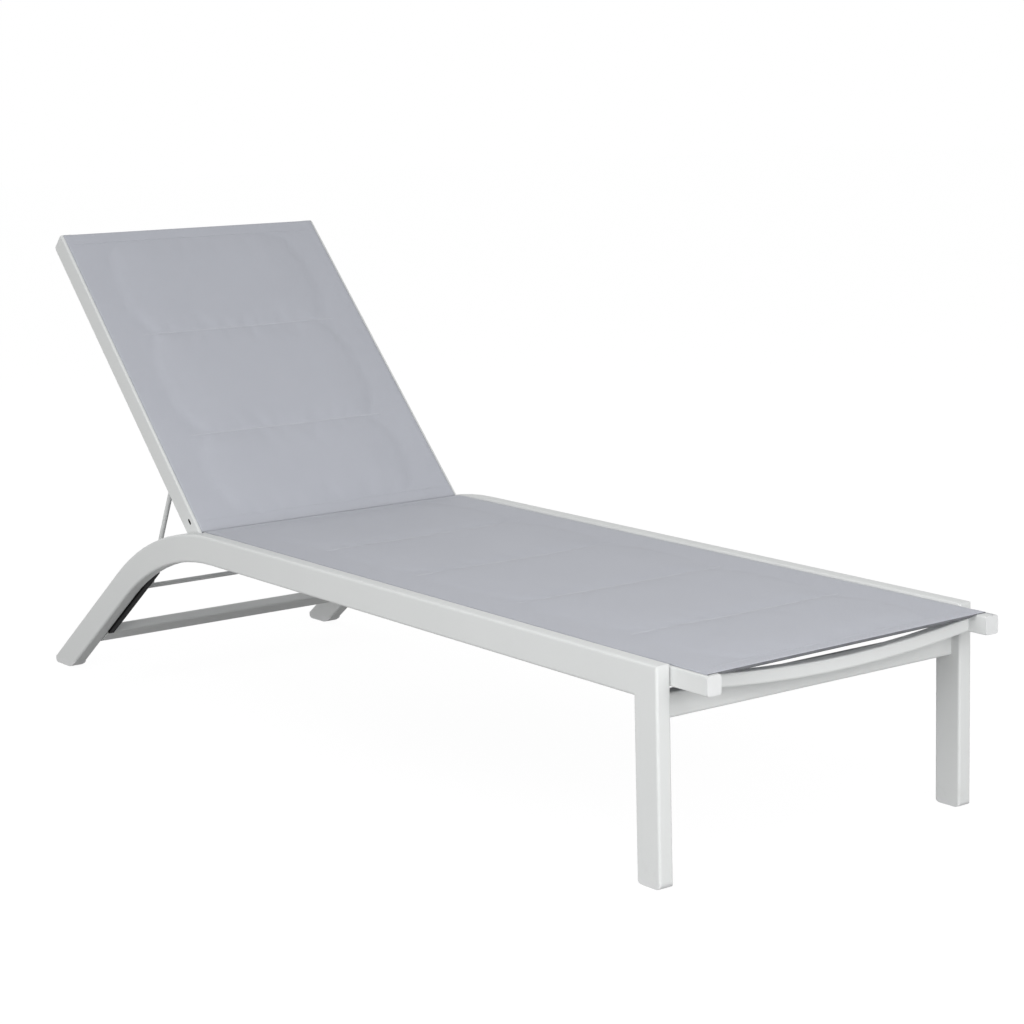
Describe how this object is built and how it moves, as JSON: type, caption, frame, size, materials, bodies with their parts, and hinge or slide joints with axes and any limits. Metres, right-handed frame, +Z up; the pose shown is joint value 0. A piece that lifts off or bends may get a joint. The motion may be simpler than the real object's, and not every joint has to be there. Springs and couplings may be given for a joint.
{
  "type": "sun lounger",
  "caption": "Reclining sun lounger: two bent tube side frames carry a padded sling seat and a hinged sling backrest, held by a swinging prop in notched racks.",
  "frame": {"origin": "on the floor, at the middle of the overall length and width", "axes": "+Z up, +Y along the lounger toward the head end, +X across it, to the right as seen from the foot end"},
  "size_m": [0.612, 1.927, 0.8382],
  "materials": {
    "frame_paint": "powder coated, satin, light grey",
    "sling_fabric": "woven mesh, matte, bluish grey",
    "hem_rod": "extruded, matte",
    "pale_plastic": "moulded, fine texture",
    "black_plastic": "moulded nylon, matte",
    "steel": "zinc plated"
  },
  "bodies": {
    "frame": {"side_frame_left": "frame_paint", "side_frame_right": "frame_paint", "front_leg_left": "frame_paint", "front_leg_right": "frame_paint", "front_foot_left": "pale_plastic", "front_foot_right": "pale_plastic", "rear_foot_left": "pale_plastic", "rear_foot_right": "pale_plastic", "front_apron": "frame_paint", "rear_crossbar": "frame_paint", "seat_rail_left": "frame_paint", "seat_rail_right": "frame_paint", "seat_front_cap_left": "pale_plastic", "seat_front_cap_right": "pale_plastic", "seat_rear_cap_left": "pale_plastic", "seat_rear_cap_right": "pale_plastic", "foot_spreader": "frame_paint", "middle_spreader": "frame_paint", "hinge_spreader": "frame_paint", "seat_sling": "sling_fabric", "seat_keder_left": "hem_rod", "seat_keder_right": "hem_rod", "seat_rail_bolts": "steel", "seat_rail_nuts": "steel", "pivot_bolt_left": "steel", "pivot_bolt_right": "steel", "pivot_nut_left": "steel", "pivot_nut_right": "steel", "rack_left": "black_plastic", "rack_right": "black_plastic", "rack_screws": "steel"},
    "backrest": {"back_rail_left": "frame_paint", "back_rail_right": "frame_paint", "back_top_cap_left": "pale_plastic", "back_top_cap_right": "pale_plastic", "back_low_cap_left": "pale_plastic", "back_low_cap_right": "pale_plastic", "back_top_spreader": "frame_paint", "back_low_spreader": "frame_paint", "back_sling": "sling_fabric", "back_keder_left": "hem_rod", "back_keder_right": "hem_rod", "keder_stops": "black_plastic", "pivot_bush_left": "black_plastic", "pivot_bush_right": "black_plastic", "prop_bush_left": "black_plastic", "prop_bush_right": "black_plastic"},
    "prop": {"prop_arm_left": "frame_paint", "prop_arm_right": "frame_paint", "prop_cross_rod": "frame_paint"}
  },
  "joints": [
    {"name": "backrest_recline", "type": "hinge", "parent": "frame", "child": "backrest", "pos_m": [0, 0.41147, 0.31015], "axis": [-1, 0, 0], "range_deg": [0, 45.7]},
    {"name": "prop_swing", "type": "hinge", "parent": "backrest", "child": "prop", "pos_m": [0, 0.53812, 0.44362], "axis": [1, 0, 0], "range_deg": [0, 61.8]}
  ],
  "couplings": [
    {"joint": "prop_swing", "follows": "backrest_recline", "ratio": 1.3507}
  ]
}
